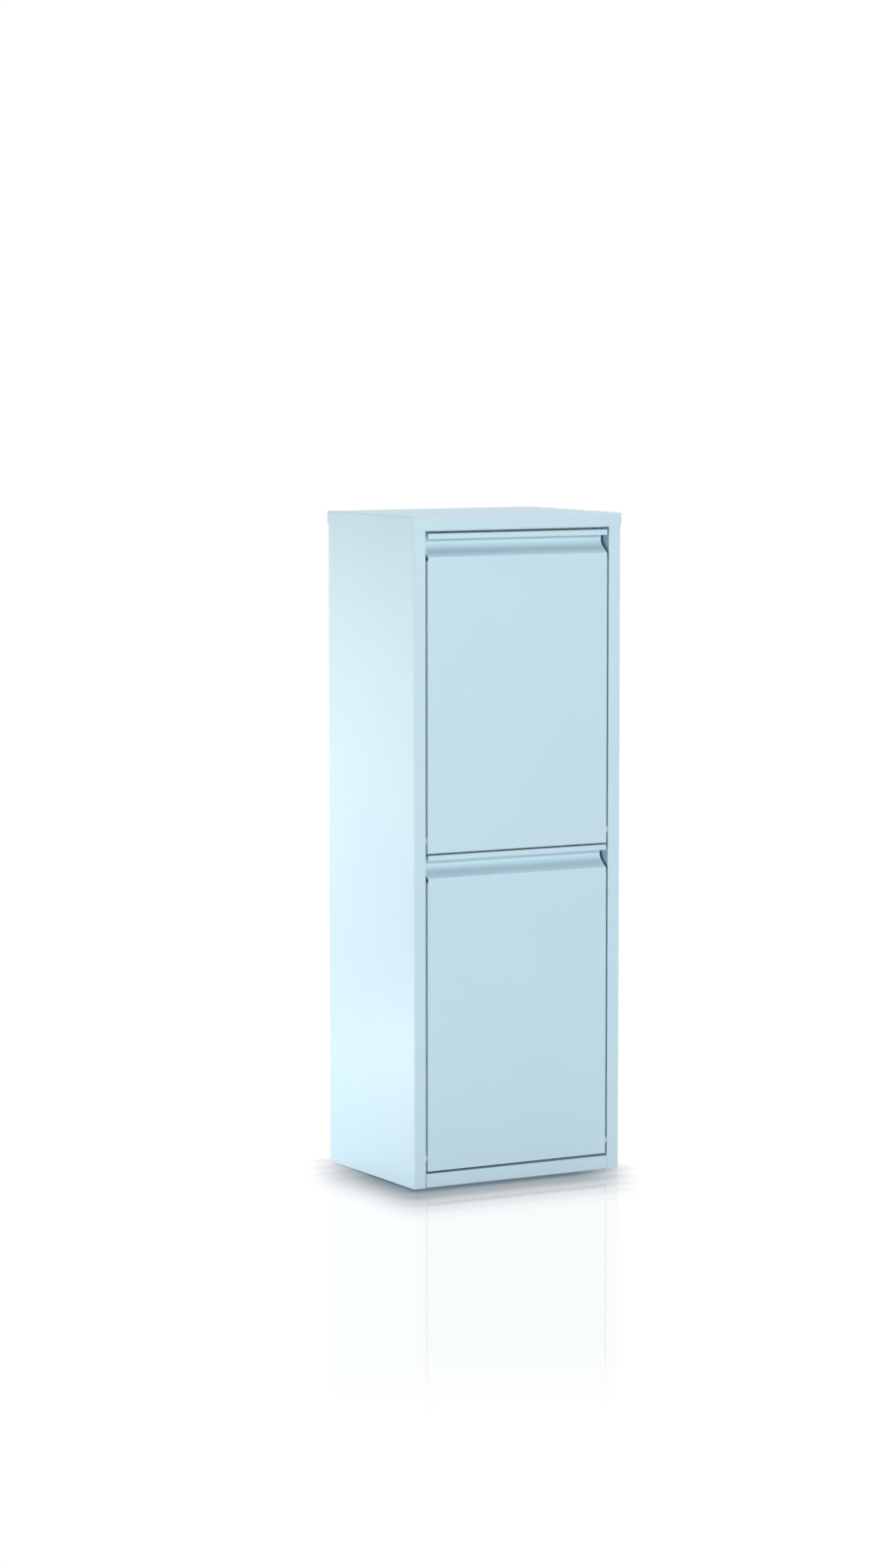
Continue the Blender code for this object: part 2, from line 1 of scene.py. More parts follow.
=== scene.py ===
# The looks of a slim steel shoe cabinet with two tilt-out flaps. Places come from the CAD frame, in metres.
# Folded sheet pieces are sections (a path along one face of the sheet, with bend radii) pulled straight.

import json
import math

import bmesh
import bpy
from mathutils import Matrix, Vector


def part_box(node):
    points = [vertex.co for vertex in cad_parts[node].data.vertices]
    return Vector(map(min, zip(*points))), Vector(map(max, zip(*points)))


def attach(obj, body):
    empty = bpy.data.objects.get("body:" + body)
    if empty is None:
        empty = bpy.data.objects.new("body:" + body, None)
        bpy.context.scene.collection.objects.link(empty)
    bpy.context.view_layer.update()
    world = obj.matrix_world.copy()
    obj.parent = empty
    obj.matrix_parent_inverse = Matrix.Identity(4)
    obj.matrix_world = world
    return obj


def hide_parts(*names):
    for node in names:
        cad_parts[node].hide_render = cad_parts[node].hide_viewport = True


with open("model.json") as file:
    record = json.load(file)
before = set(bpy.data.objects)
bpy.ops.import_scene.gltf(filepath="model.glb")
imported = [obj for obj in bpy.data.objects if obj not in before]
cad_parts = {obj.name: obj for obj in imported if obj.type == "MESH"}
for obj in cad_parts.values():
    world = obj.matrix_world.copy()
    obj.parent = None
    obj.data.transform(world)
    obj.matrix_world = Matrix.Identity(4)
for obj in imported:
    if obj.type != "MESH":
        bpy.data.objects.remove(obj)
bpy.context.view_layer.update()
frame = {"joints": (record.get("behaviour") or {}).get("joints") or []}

# Sheet metal, as the CAD has it
SHEET = 0.0008
GAP = 0.0003
BEND_RADIUS = 0.0008
BEND_STEPS = 8
EDGE_ROUND = 0.00016
JAMB_DEPTH = 0.030
REAR_RETURN = 0.018
RAIL_RETURN = 0.020
RAIL_LIP = 0.012
LID_BEND = 0.0016
DOOR_FLANGE = 0.017

# Finger pull along the top of each flap
STRIP_HEIGHT = 0.008
GROOVE_DEPTH = 0.017
WALL_BELOW_STRIP = 0.0118
RAMP_HEIGHT = 0.0127
RAMP_FACE_RADIUS = 0.0009
RAMP_WALL_RADIUS = 0.013
PULL_INSET = 0.001
RELIEF_HEIGHT = 0.005
HEM_RADIUS = 0.00015
HEM_HEIGHT = 0.0055

# Shoe trays and bars
TRAY_LIP_HEIGHT = 0.016
TRAY_RISE = 0.014
TRAY_BACK_LEAN = 0.010
TRAY_FRONT_RADIUS = 0.003
TRAY_BACK_RADIUS = 0.010
TRAY_SIDE_HEIGHT = 0.010
TRAY_SLOT_LENGTH = 0.034
TRAY_SLOT_WIDTH = 0.005
TRAY_SLOT_PITCH = 0.044
TRAY_SLOT_COLUMNS = 6
TRAY_SLOT_ROWS = (0.34, 0.62)
TRAY_SIDE_FRONT_INSET = 0.006
TRAY_SIDE_BACK_INSET = 0.014
TRAY_SIDE_TAPER = 0.004
PLATE_CORNER = 0.006

# Hardware
PIVOT_PIN_RADIUS = 0.0020
BUSH_BORE = 0.0021
BUSH_RADIUS = 0.0034
STOP_PIN_RADIUS = 0.0025
SLOT_CLEARANCE = 0.0004
STOP_HEAD = 0.0012
STOP_HEAD_RADIUS = 0.0044
PIVOT_HEAD = 0.0014
PIVOT_HEAD_RADIUS = 0.0039
PIN_CHAMFER = 0.0004
BUSH_CHAMFER = 0.0003
RACK_RIVET_RADIUS = 0.0030
RACK_RIVET_DOME = 0.0007
RACK_RIVET_LIFT = 0.00002
RACK_RIVET_SHARES = (0.18, 0.50, 0.78)
BACK_RIVET_HOLE = 0.0019
BACK_RIVET_SHANK = 0.0016
BACK_RIVET_SHANK_DEPTH = 0.0042
FOOT_HOLE = 0.0034
HOLE_REACH = 0.003
DEEP_HOLE_REACH = 0.004
ROUND_STEPS = 40
RACK_RIVET_STEPS = 24

# Back panel
RIB_SHARES = (0.14, 0.32, 0.50, 0.68, 0.82)
RIB_DEPTH = 0.0012
RIB_HALF_WIDTH = 0.008
RIB_SLOPE = 0.003
RIB_BEND = 0.0012
KEYHOLE_X = 0.090
KEYHOLE_Z = 0.860
KEYHOLE_RADIUS = 0.0060
KEYHOLE_NECK_LOW = 0.862
KEYHOLE_NECK_TOP = 0.875
KEYHOLE_NECK_HALF_WIDTH = 0.0025
KEYHOLE_NECK_ROUND = 0.0024

SIDES = {"left": -1, "right": 1}
JOINTS = {joint["child"]: joint for joint in frame["joints"]}
DOORS = ("upper", "lower")
LEVELS = ("lower", "upper")
RIVET_LEVELS = ("bottom", "middle", "top")

# Places read from the frame
side_low, side_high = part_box("left_side_panel")
lid_low, lid_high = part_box("lid")
shelf_low, shelf_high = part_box("divider_shelf")
bottom_low, bottom_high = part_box("bottom_panel")
back_low, back_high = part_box("back_panel")
front_rail_low, front_rail_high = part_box("top_front_rail")
rear_rail_low, rear_rail_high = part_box("top_rear_rail")
SIDE_X = -side_low.x
OPENING_X = -side_high.x
INNER_X = bottom_high.x
FRONT_Y = side_low.y
BACK_Y = side_high.y
BASE_Z = side_low.z
CARCASS_TOP = side_high.z
TOP_Z = lid_high.z
RAIL_X = front_rail_high.x
JAMB_BACK_Y = FRONT_Y + JAMB_DEPTH
TILT_LIMIT = math.radians(JOINTS["upper_door"]["range_deg"][1])


# Outlines


def direction(start, end):
    length = math.hypot(end[0] - start[0], end[1] - start[1])
    return ((end[0] - start[0]) / length, (end[1] - start[1]) / length)


def corner_arc(before, corner, after, radius, steps):
    """Centre and unit spokes of the arc that rounds a corner."""
    into = direction(before, corner)
    out = direction(corner, after)
    turn = math.atan2(into[0] * out[1] - into[1] * out[0], into[0] * out[0] + into[1] * out[1])
    sign = 1.0 if turn > 0 else -1.0
    tangent = radius * math.tan(abs(turn) / 2)
    start = (corner[0] - into[0] * tangent, corner[1] - into[1] * tangent)
    centre = (start[0] - into[1] * sign * radius, start[1] + into[0] * sign * radius)
    first = math.atan2(start[1] - centre[1], start[0] - centre[0])
    angles = [first + turn * i / steps for i in range(steps + 1)]
    return centre, [(math.cos(a), math.sin(a)) for a in angles]


def sheet_section(path, side, radii=None, thickness=SHEET, steps=BEND_STEPS):
    """Closed section of a folded sheet that lies left (side 1) or right (side -1) of the path."""
    near = []
    far = []
    last = len(path) - 1
    for i, point in enumerate(path):
        if i in (0, last):
            along = direction(path[0], path[1]) if i == 0 else direction(path[last - 1], path[last])
            near.append(point)
            far.append((point[0] - along[1] * side * thickness, point[1] + along[0] * side * thickness))
            continue
        inside = radii[i - 1] if radii else BEND_RADIUS
        into = direction(path[i - 1], point)
        out = direction(point, path[i + 1])
        turns_left = into[0] * out[1] - into[1] * out[0] > 0
        sheet_inside = turns_left == (side > 0)
        near_radius = inside + thickness if sheet_inside else inside
        far_radius = inside if sheet_inside else inside + thickness
        centre, spokes = corner_arc(path[i - 1], point, path[i + 1], near_radius, steps)
        near.extend((centre[0] + s[0] * near_radius, centre[1] + s[1] * near_radius) for s in spokes)
        far.extend((centre[0] + s[0] * far_radius, centre[1] + s[1] * far_radius) for s in spokes)
    return near + far[::-1]


def rounded_outline(points, radius, steps=8):
    outline = []
    count = len(points)
    for i, point in enumerate(points):
        centre, spokes = corner_arc(points[i - 1], point, points[(i + 1) % count], radius, steps)
        outline.extend((centre[0] + s[0] * radius, centre[1] + s[1] * radius) for s in spokes)
    return outline


def box_outline(low, high):
    return [(low[0], low[1]), (high[0], low[1]), (high[0], high[1]), (low[0], high[1])]


def arc_slot_outline(radius, half_width, start, end, steps=40, end_steps=12):
    """Bean-shaped slot round the origin. Angles are measured from +Z towards +Y."""

    def at(angle, distance):
        return (math.sin(angle) * distance, math.cos(angle) * distance)

    def end_cap(angle, first_turn):
        middle = at(angle, radius)
        turns = [first_turn + math.pi * i / end_steps for i in range(1, end_steps)]
        return [(middle[0] + math.sin(angle + t) * half_width, middle[1] + math.cos(angle + t) * half_width)
                for t in turns]

    sweep = [start + (end - start) * i / steps for i in range(steps + 1)]
    outer = [at(a, radius + half_width) for a in sweep]
    inner = [at(a, radius - half_width) for a in reversed(sweep)]
    return outer + end_cap(end, 0.0) + inner + end_cap(start, math.pi)


# Solids


def place(plane, a, b, height):
    if plane == "XY":
        return Vector((a, b, height))
    if plane == "YZ":
        return Vector((height, a, b))
    return Vector((a, height, b))


def mesh_object(name, bm):
    bmesh.ops.recalc_face_normals(bm, faces=bm.faces)
    mesh = bpy.data.meshes.new(name)
    bm.to_mesh(mesh)
    bm.free()
    obj = bpy.data.objects.new(name, mesh)
    bpy.context.scene.collection.objects.link(obj)
    return obj


def add_prism(bm, outline, plane, low, high, origin=Vector()):
    near = [bm.verts.new(place(plane, a, b, low) + origin) for a, b in outline]
    far = [bm.verts.new(place(plane, a, b, high) + origin) for a, b in outline]
    bm.faces.new(near)
    bm.faces.new(far)
    count = len(outline)
    for i in range(count):
        after = (i + 1) % count
        bm.faces.new((near[i], near[after], far[after], far[i]))


def prism(name, outline, plane, low, high, origin=Vector()):
    bm = bmesh.new()
    add_prism(bm, outline, plane, low, high, origin)
    return mesh_object(name, bm)


def add_turned(bm, profile, centre, axis, steps=ROUND_STEPS):
    """Solid of revolution. profile is (distance along the axis, radius), and a closed ring if it returns."""
    hollow = profile[0] == profile[-1]
    rings = []
    for along, radius in (profile[:-1] if hollow else profile):
        ring = []
        for i in range(steps):
            angle = 2 * math.pi * (i + 0.5) / steps
            offset = (radius * math.cos(angle), radius * math.sin(angle))
            local = (along, *offset) if axis == "X" else (offset[0], along, offset[1])
            if axis == "Z":
                local = (*offset, along)
            ring.append(bm.verts.new(Vector(local) + Vector(centre)))
        rings.append(ring)
    pairs = list(zip(rings, rings[1:]))
    if hollow:
        pairs.append((rings[-1], rings[0]))
    for ring, following in pairs:
        for i in range(steps):
            after = (i + 1) % steps
            bm.faces.new((ring[i], ring[after], following[after], following[i]))
    if not hollow:
        bm.faces.new(rings[0])
        bm.faces.new(rings[-1])


def turned(name, profile, centre, axis, steps=ROUND_STEPS):
    bm = bmesh.new()
    add_turned(bm, profile, centre, axis, steps)
    return mesh_object(name, bm)


def apply_modifiers(obj):
    evaluated = obj.evaluated_get(bpy.context.evaluated_depsgraph_get())
    mesh = bpy.data.meshes.new_from_object(evaluated)
    old = obj.data
    obj.modifiers.clear()
    obj.data = mesh
    bpy.data.meshes.remove(old)


def combine(target, other, operation):
    """Adds or cuts another solid for good, and removes it."""
    modifier = target.modifiers.new("combine", "BOOLEAN")
    modifier.operation = operation
    modifier.solver = "EXACT"
    modifier.object = other
    apply_modifiers(target)
    mesh = other.data
    bpy.data.objects.remove(other)
    bpy.data.meshes.remove(mesh)


def drill(target, centres, axis, radius, reach, steps=ROUND_STEPS):
    bm = bmesh.new()
    for centre in centres:
        add_turned(bm, [(-reach, radius), (reach, radius)], centre, axis, steps)
    combine(target, mesh_object("drill", bm), "DIFFERENCE")


def dress(obj, body, material, replaces=(), edge=EDGE_ROUND, sharp=35.0):
    """Gives a finished shape its soft edges, shading, material and CAD body."""
    obj.data.shade_smooth()
    obj.data.set_sharp_from_angle(angle=math.radians(sharp))
    if edge:
        bevel = obj.modifiers.new("soft_edges", "BEVEL")
        bevel.width = edge
        bevel.segments = 2
        bevel.limit_method = "ANGLE"
        bevel.angle_limit = math.radians(50)
        bevel.use_clamp_overlap = True
        bevel.miter_outer = "MITER_ARC"
    normals = obj.modifiers.new("flat_faces", "WEIGHTED_NORMAL")
    normals.keep_sharp = True
    normals.weight = 90
    obj.data.materials.clear()
    obj.data.materials.append(material)
    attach(obj, body)
    if replaces:
        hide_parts(*replaces)


# Materials


class Nodes:
    """Short calls for building a material's node tree."""

    def __init__(self, name):
        self.material = bpy.data.materials.new(name)
        self.material.use_nodes = True
        self.tree = self.material.node_tree
        self.shader = self.tree.nodes["Principled BSDF"]

    def add(self, kind, **settings):
        node = self.tree.nodes.new(kind)
        for key, value in settings.items():
            setattr(node, key, value)
        return node

    def link(self, source, target):
        self.tree.links.new(source, target)

    def coordinates(self):
        return self.add("ShaderNodeTexCoord").outputs["Object"]

    def noise(self, vector, scale, detail=2.0, roughness=0.5):
        node = self.add("ShaderNodeTexNoise")
        node.inputs["Scale"].default_value = scale
        node.inputs["Detail"].default_value = detail
        node.inputs["Roughness"].default_value = roughness
        self.link(vector, node.inputs["Vector"])
        return node.outputs["Fac"]

    def stretch(self, vector, scale):
        node = self.add("ShaderNodeMapping")
        node.inputs["Scale"].default_value = scale
        self.link(vector, node.inputs["Vector"])
        return node.outputs["Vector"]

    def remap(self, value, *limits, ease="LINEAR"):
        """limits are the lowest and highest value, and what each becomes."""
        node = self.add("ShaderNodeMapRange", interpolation_type=ease)
        for key, number in zip(("From Min", "From Max", "To Min", "To Max"), limits):
            node.inputs[key].default_value = number
        self.link(value, node.inputs["Value"])
        return node.outputs["Result"]

    def smooth(self, value, *limits):
        return self.remap(value, *limits, ease="SMOOTHSTEP")

    def maths(self, operation, *values):
        node = self.add("ShaderNodeMath", operation=operation)
        for socket, value in zip(node.inputs, values):
            if isinstance(value, float):
                socket.default_value = value
            else:
                self.link(value, socket)
        return node.outputs[0]

    def mix(self, fac, first, second):
        node = self.add("ShaderNodeMix", data_type="RGBA")
        node.inputs[6].default_value = (*first, 1.0) if isinstance(first, tuple) else (1, 1, 1, 1)
        node.inputs[7].default_value = (*second, 1.0)
        if not isinstance(first, tuple):
            self.link(first, node.inputs[6])
        self.link(fac, node.inputs[0])
        return node.outputs[2]

    def bump(self, height, strength, distance, before=None):
        node = self.add("ShaderNodeBump")
        node.inputs["Strength"].default_value = strength
        node.inputs["Distance"].default_value = distance
        self.link(height, node.inputs["Height"])
        if before is not None:
            self.link(before, node.inputs["Normal"])
        return node.outputs["Normal"]


# Linear colours
PAINT = (0.506, 0.688, 0.772)
PAINT_DEEP = (0.494, 0.679, 0.764)
# Lighter colour for outside edges: thinner paint there, and a painted highlight along the bends.
PAINT_THIN_AND_HIGHLIGHT = (0.548, 0.724, 0.798)
ZINC = (0.62, 0.63, 0.65)
ZINC_DULL = (0.47, 0.48, 0.49)
NYLON = (0.80, 0.79, 0.75)
NYLON_SHADE = (0.72, 0.71, 0.66)
RUBBER = (0.028, 0.028, 0.030)
RUBBER_DUST = (0.060, 0.060, 0.062)
SHADE = (0.17, 0.21, 0.25)

# Light table
TABLE_GLOW = 1.01
TABLE_LAMP = 0.20
SHADE_INSET = 0.004
SHADE_WIDTH = 0.042
SHADE_REACH = (-0.0245, -0.0436)
SHADE_SHARES = (0.30, 0.31, 0.25, 0.15, 0.05)
POLISH = 0.13
POLISH_NEAR = 0.95
POLISH_FAR = 1.40
POLISH_ROUGHNESS = 0.04

# Studio. Each light: name, position, target, size, power in watts
SURROUND = 0.08
BACKDROP = 1.02
LIGHTS = (
    ("key_front", (0.5, -4.0, 0.45), (0.0, 0.0, 0.5), (1.6, 1.0), 59.0),
    ("key_high", (0.7, -4.4, 1.8), (0.0, 0.0, 0.45), (1.6, 0.6), 81.0),
    ("panel_left", (-3.0, 0.2, 0.7), (0.0, 0.0, 0.4), (2.0, 1.4), 18.5),
    ("panel_left_low", (-3.0, 0.6, 0.25), (0.0, 0.0, 0.3), (2.0, 0.5), 26.0),
    ("strip_left_low", (-1.3, 0.0, 0.10), (-0.165, 0.0, 0.15), (1.0, 0.15), 3.4),
    ("strip_left_floor", (-0.72, 0.40, 0.07), (-0.165, 0.05, 0.12), (0.6, 0.08), 1.1),
    ("panel_rear_left", (-1.5, 3.2, 0.3), (-0.165, 0.0, 0.3), (1.2, 0.8), 15.5),
    ("overhead", (0.0, 0.0, 3.0), (0.0, 0.0, 0.0), (2.0, 2.0), 34.0),
)
FLOOR_REACH = 60.0

# Camera, from the perspective fit of the photo
CAMERA_PLACE = (-3.0649, -5.3745, 1.172)
CAMERA_LENS = 101.07
CAMERA_TILT = 90.0 - 5.78
CAMERA_TURN = -29.36


def powder_coat():
    """Satin powder coat: faint orange peel, slow tone drift, and outside edges painted lighter, for thinner
    paint there and a painted highlight along the bends.
    """
    n = Nodes("powder_coat_ice_blue")
    where = n.coordinates()
    drift = n.noise(where, 9.0, 3.0)
    grain = n.noise(where, 2600.0, 2.0)
    peel = n.noise(where, 620.0, 2.0, 0.4)
    colour = n.mix(n.remap(drift, 0.35, 0.65, 0.0, 1.0), PAINT, PAINT_DEEP)
    geometry = n.add("ShaderNodeNewGeometry")
    # Edges found by pointiness get the lighter colour: thinner paint, and a painted highlight along the
    # bends.
    thin_edge_and_highlight = n.remap(geometry.outputs["Pointiness"], 0.535, 0.60, 0.0, 0.5)
    n.link(n.mix(thin_edge_and_highlight, colour, PAINT_THIN_AND_HIGHLIGHT), n.shader.inputs["Base Color"])
    n.link(n.remap(grain, 0.3, 0.7, 0.34, 0.42), n.shader.inputs["Roughness"])
    n.link(n.bump(peel, 0.10, 0.00006), n.shader.inputs["Normal"])
    n.shader.inputs["Specular IOR Level"].default_value = 0.5
    return n.material


def zinc_plate():
    """Bright zinc plate with fine turning marks and duller patches."""
    n = Nodes("zinc_plate")
    where = n.coordinates()
    patches = n.noise(where, 240.0, 4.0)
    lines = n.noise(n.stretch(where, (1.0, 60.0, 60.0)), 90.0, 2.0)
    n.link(n.mix(n.remap(patches, 0.35, 0.7, 0.0, 1.0), ZINC, ZINC_DULL), n.shader.inputs["Base Color"])
    n.link(n.remap(lines, 0.3, 0.7, 0.22, 0.42), n.shader.inputs["Roughness"])
    n.link(n.bump(lines, 0.12, 0.00004), n.shader.inputs["Normal"])
    n.shader.inputs["Metallic"].default_value = 1.0
    return n.material


def moulded_nylon():
    """Natural nylon with a fine spark-eroded texture."""
    n = Nodes("moulded_nylon")
    where = n.coordinates()
    cloud = n.noise(where, 160.0, 3.0)
    texture = n.noise(where, 3600.0, 2.0)
    n.link(n.mix(n.remap(cloud, 0.3, 0.7, 0.0, 1.0), NYLON, NYLON_SHADE), n.shader.inputs["Base Color"])
    n.link(n.remap(texture, 0.3, 0.7, 0.38, 0.52), n.shader.inputs["Roughness"])
    n.link(n.bump(texture, 0.2, 0.00003), n.shader.inputs["Normal"])
    n.shader.inputs["Subsurface Weight"].default_value = 0.12
    n.shader.inputs["Subsurface Scale"].default_value = 0.001
    return n.material


def buffer_rubber():
    """Dull black rubber with a little dust in its texture."""
    n = Nodes("buffer_rubber")
    where = n.coordinates()
    dust = n.noise(where, 420.0, 4.0)
    n.link(n.mix(n.remap(dust, 0.45, 0.7, 0.0, 1.0), RUBBER, RUBBER_DUST), n.shader.inputs["Base Color"])
    n.link(n.remap(dust, 0.3, 0.7, 0.65, 0.85), n.shader.inputs["Roughness"])
    n.link(n.bump(dust, 0.3, 0.00005), n.shader.inputs["Normal"])
    return n.material


def light_table():
    """Backlit white acrylic with a faint polish. The shade in front of the base is painted by position."""
    n = Nodes("light_table")
    where = n.add("ShaderNodeSeparateXYZ")
    n.link(n.add("ShaderNodeNewGeometry").outputs["Position"], where.inputs[0])

    def squared(value):
        return n.maths("MULTIPLY", value, value)

    def base_distance(shift):
        """Distance from the cabinet's base when the base is moved by a shift."""
        total = 0.0
        for axis, half in ((0, SIDE_X), (1, BACK_Y)):
            away = n.maths("ABSOLUTE", n.maths("SUBTRACT", where.outputs[axis], shift[axis]))
            beyond = n.maths("MAXIMUM", n.maths("SUBTRACT", away, half - SHADE_INSET), 0.0)
            total = n.maths("ADD", squared(beyond), total)
        return n.maths("SQRT", total)

    shade = 0.0
    for step, share in enumerate(SHADE_SHARES):
        distance = base_distance((SHADE_REACH[0] * step, SHADE_REACH[1] * step))
        shade = n.maths("ADD", n.smooth(distance, 0.0, SHADE_WIDTH, share, 0.0), shade)
    n.shader.inputs["Base Color"].default_value = (0.0, 0.0, 0.0, 1.0)
    n.shader.inputs["Specular IOR Level"].default_value = 0.0
    n.link(n.mix(shade, (1.0, 1.0, 1.0), SHADE), n.shader.inputs["Emission Color"])
    path = n.add("ShaderNodeLightPath")
    lamp = n.remap(path.outputs["Is Diffuse Ray"], 0.0, 1.0, TABLE_GLOW, TABLE_LAMP)
    n.link(lamp, n.shader.inputs["Emission Strength"])
    gloss = n.add("ShaderNodeBsdfGlossy")
    gloss.inputs["Roughness"].default_value = POLISH_ROUGHNESS
    gloss.inputs["Color"].default_value = (1.0, 1.0, 1.0, 1.0)
    blend = n.add("ShaderNodeMixShader")
    polish = n.smooth(base_distance((0.0, 0.0)), POLISH_NEAR, POLISH_FAR, POLISH, 0.0)
    n.link(polish, blend.inputs["Fac"])
    n.link(n.shader.outputs["BSDF"], blend.inputs[1])
    n.link(gloss.outputs["BSDF"], blend.inputs[2])
    n.link(blend.outputs["Shader"], n.tree.nodes["Material Output"].inputs["Surface"])
    return n.material


PAINTED = powder_coat()
PLATED = zinc_plate()
MOULDED = moulded_nylon()
RUBBERY = buffer_rubber()


def painted(obj, body, *replaces, edge=EDGE_ROUND):
    dress(obj, body, PAINTED, replaces, edge)


def plated(obj, body, *replaces, edge=0.0):
    dress(obj, body, PLATED, replaces, edge)


# Carcass


def centre_of(node):
    low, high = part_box(node)
    return (low + high) / 2


def inner_and_outer(low, high, sign):
    """X of a side fitting's end towards the middle of the cabinet, then of its other end."""
    return (high.x, low.x) if sign < 0 else (low.x, high.x)


def rivet_nodes(side):
    return ["back_rivet_" + side + "_" + level for level in RIVET_LEVELS]


def side_panel(side):
    """Side, front stile, jamb return and rear return, folded from one sheet."""
    sign = SIDES[side]
    path = [
        (-SIDE_X + REAR_RETURN, BACK_Y),
        (-SIDE_X, BACK_Y),
        (-SIDE_X, FRONT_Y),
        (-OPENING_X, FRONT_Y),
        (-OPENING_X, JAMB_BACK_Y),
    ]
    section = [(-sign * x, y) for x, y in sheet_section(path, 1)]
    panel = prism(side + "_side", section, "XY", BASE_Z, CARCASS_TOP)
    bushes = [centre_of(door + "_" + side + "_bush") for door in DOORS]
    stops = [centre_of(door + "_" + side + "_stop_pin") for door in DOORS]
    rivets = [centre_of(node) for node in rivet_nodes(side)]
    drill(panel, [(sign * OPENING_X, p.y, p.z) for p in bushes], "X", BUSH_RADIUS + GAP, HOLE_REACH)
    drill(panel, [(sign * OPENING_X, p.y, p.z) for p in stops], "X", STOP_PIN_RADIUS + GAP, HOLE_REACH)
    drill(panel, [(p.x, BACK_Y, p.z) for p in rivets], "Y", BACK_RIVET_HOLE, HOLE_REACH)
    painted(panel, "cabinet", side + "_side_panel")


def add_wings(target, plate_z, flange_z, back_y):
    """Side flanges that reach the side panels behind the jambs."""
    for sign in SIDES.values():
        path = [(OPENING_X - 0.004, plate_z), (INNER_X, plate_z), (INNER_X, flange_z)]
        turn = 1 if flange_z > plate_z else -1
        section = [(sign * x, z) for x, z in sheet_section(path, turn)]
        combine(target, prism("wing", section, "XZ", JAMB_BACK_Y + GAP, back_y), "UNION")


def bottom_panel():
    """Base tray. Its front edge is the rail below the lower flap."""
    rail_top = bottom_high.z
    path = [
        (FRONT_Y + RAIL_RETURN, rail_top),
        (FRONT_Y, rail_top),
        (FRONT_Y, BASE_Z),
        (bottom_high.y, BASE_Z),
        (bottom_high.y, rail_top),
    ]
    panel = prism("bottom", sheet_section(path, 1), "YZ", -RAIL_X, RAIL_X)
    add_wings(panel, BASE_Z, rail_top, bottom_high.y)
    feet = [centre_of("foot_" + end + "_" + side) for end in ("front", "rear") for side in SIDES]
    drill(panel, [(p.x, p.y, BASE_Z) for p in feet], "Z", FOOT_HOLE, DEEP_HOLE_REACH)
    painted(panel, "cabinet", "bottom_panel")


def divider_shelf():
    top = shelf_high.z
    fold = shelf_low.z
    path = [(shelf_low.y, fold), (shelf_low.y, top), (shelf_high.y, top), (shelf_high.y, fold)]
    shelf = prism("divider", sheet_section(path, -1), "YZ", -RAIL_X, RAIL_X)
    add_wings(shelf, top, fold, shelf_high.y)
    painted(shelf, "cabinet", "divider_shelf")


def top_rails():
    bumper_y = front_rail_high.y - SHEET
    rail_bottom = front_rail_low.z + RAIL_LIP
    path = [
        (FRONT_Y + RAIL_RETURN, CARCASS_TOP),
        (FRONT_Y, CARCASS_TOP),
        (FRONT_Y, rail_bottom),
        (bumper_y, rail_bottom),
        (bumper_y, front_rail_low.z),
    ]
    front_rail = prism("front_rail", sheet_section(path, 1), "YZ", -RAIL_X, RAIL_X)
    painted(front_rail, "cabinet", "top_front_rail")
    path = [
        (rear_rail_high.y, rear_rail_low.z),
        (rear_rail_high.y, CARCASS_TOP),
        (rear_rail_high.y - RAIL_RETURN, CARCASS_TOP),
    ]
    rear_rail = prism("rear_rail", sheet_section(path, 1), "YZ", -RAIL_X, RAIL_X)
    painted(rear_rail, "cabinet", "top_rear_rail")


def lid():
    """Folded cap: rounded folds along the top, tight folded corners, open underneath."""
    half_x = lid_high.x
    half_y = lid_high.y
    bottom = lid_low.z
    bm = bmesh.new()
    add_prism(bm, box_outline((-half_x, -half_y), (half_x, half_y)), "XY", bottom, TOP_Z)
    cap = mesh_object("lid_cap", bm)
    weights = cap.data.attributes.new("bevel_weight_edge", "FLOAT", "EDGE")
    for edge in cap.data.edges:
        ends = [cap.data.vertices[v].co.z for v in edge.vertices]
        weights.data[edge.index].value = 1.0 if max(ends) > bottom + GAP else 0.0
    bevel = cap.modifiers.new("fold", "BEVEL")
    bevel.limit_method = "WEIGHT"
    bevel.width = LID_BEND
    bevel.segments = BEND_STEPS
    apply_modifiers(cap)
    inside = box_outline((-half_x + SHEET, -half_y + SHEET), (half_x - SHEET, half_y - SHEET))
    hollow = prism("hollow", inside, "XY", bottom - 0.01, TOP_Z - SHEET)
    combine(cap, hollow, "DIFFERENCE")
    painted(cap, "cabinet", "lid")


